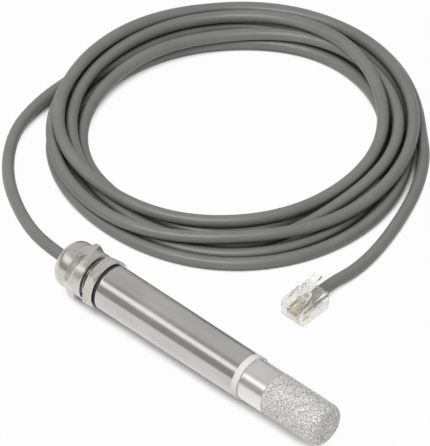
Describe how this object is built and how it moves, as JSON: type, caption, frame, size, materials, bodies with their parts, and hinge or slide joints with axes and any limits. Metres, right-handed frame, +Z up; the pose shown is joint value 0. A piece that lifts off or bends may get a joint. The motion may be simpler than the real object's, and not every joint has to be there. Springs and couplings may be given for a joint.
{
  "type": "temperature and humidity probe",
  "caption": "Steel tube sensor probe with a sintered filter tip, a cable gland at its rear and a coiled grey lead that ends in a clear modular plug.",
  "frame": {"origin": "on the table, under the middle of the probe's box, without the lead and its plug", "axes": "+X along the probe's axis from the gland to the filter tip, +Z up from the table that the probe lies on"},
  "size_m": [0.1854, 0.159, 0.0187],
  "materials": {
    "tube_steel": "fine turned stainless steel, half polished",
    "nickel_brass": "nickel plate, warm and satin",
    "cage_plastic": "moulded polyamide",
    "seal_rubber": "matt black rubber",
    "white_plastic": "turned white plastic",
    "sintered_steel": "sintered stainless grains, open pores",
    "board_laminate": "green solder mask",
    "chip_black": "moulded chip package",
    "capacitor_ceramic": "ceramic chip",
    "cable_jacket": "grey cable jacket, soft sheen",
    "clear_plastic": "clear moulded polycarbonate",
    "gold_contact": "gold flash over bronze",
    "core_blue": "coloured core insulation",
    "core_yellow": "coloured core insulation",
    "core_green": "coloured core insulation",
    "core_red": "coloured core insulation",
    "core_black": "coloured core insulation",
    "core_white": "coloured core insulation"
  },
  "bodies": {
    "root": {"probe_tube": "tube_steel", "rear_bush": "tube_steel", "gland_body": "nickel_brass", "gland_dome_nut": "nickel_brass", "gland_clamp_cage": "cage_plastic", "gland_seal": "seal_rubber", "gland_gasket": "seal_rubber", "sensor_carrier": "white_plastic", "carrier_o_ring": "seal_rubber", "filter_sleeve": "tube_steel", "sintered_filter": "sintered_steel", "sensor_board": "board_laminate", "humidity_sensor": "chip_black", "controller_chip": "chip_black", "board_capacitors": "capacitor_ceramic", "board_core_blue": "core_blue", "board_core_yellow": "core_yellow", "board_core_green": "core_green", "board_core_red": "core_red", "board_core_black": "core_black", "board_core_white": "core_white", "cable_gland_end": "cable_jacket", "cable_gland_tail": "cable_jacket", "cable_coil": "cable_jacket", "cable_plug_tail": "cable_jacket", "cable_plug_end": "cable_jacket", "plug_housing": "clear_plastic", "plug_contacts": "gold_contact", "plug_core_blue": "core_blue", "plug_core_yellow": "core_yellow", "plug_core_green": "core_green", "plug_core_red": "core_red", "plug_core_black": "core_black", "plug_core_white": "core_white"}
  },
  "joints": []
}
